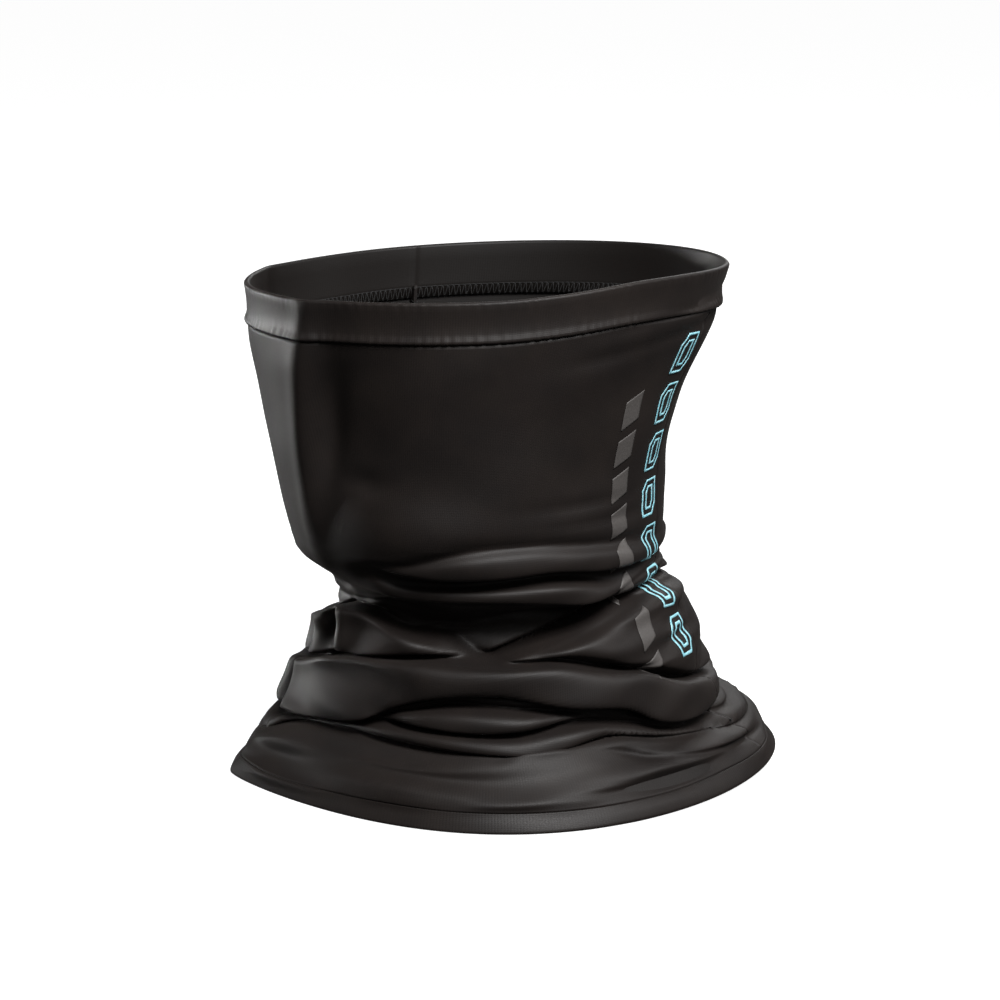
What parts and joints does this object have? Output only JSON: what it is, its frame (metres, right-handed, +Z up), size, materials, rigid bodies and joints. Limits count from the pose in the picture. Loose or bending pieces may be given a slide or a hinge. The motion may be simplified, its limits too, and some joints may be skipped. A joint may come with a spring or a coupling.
{
  "type": "neck gaiter",
  "caption": "Thin stretch-knit tube worn over the nose, chin and neck, with folded bands at both openings, bunched at the neck and flaring onto the shoulders.",
  "frame": {"origin": "centre of the bottom rim, on the plane that the bottom band's folded edge rests on", "axes": "+Z up through the tube, -Y towards the wearer's face, +X towards the wearer's left"},
  "size_m": [0.2059, 0.2419, 0.2201],
  "materials": {
    "black_knit": "satin brushed microfibre interlock knit",
    "band_knit": "the same knit folded double",
    "black_thread": "textured polyester overlock thread",
    "cyan_film": "stretch heat-transfer film",
    "grey_film": "matt stretch heat-transfer film"
  },
  "bodies": {
    "root": {"front_panel": "black_knit", "rear_panel": "black_knit", "side_seam_thread": "black_thread", "back_seam_thread": "black_thread", "top_band": "band_knit", "top_overlock": "black_thread", "bottom_band": "band_knit", "bottom_overlock": "black_thread", "print_outline_1": "cyan_film", "print_outline_2": "cyan_film", "print_outline_3": "cyan_film", "print_outline_4": "cyan_film", "print_outline_5": "cyan_film", "print_outline_6": "cyan_film", "print_outline_7": "cyan_film", "print_block_1": "grey_film", "print_block_2": "grey_film", "print_block_3": "grey_film", "print_block_4": "grey_film", "print_block_5": "grey_film", "print_block_6": "grey_film", "print_block_7": "grey_film", "print_block_8": "grey_film"}
  },
  "joints": []
}
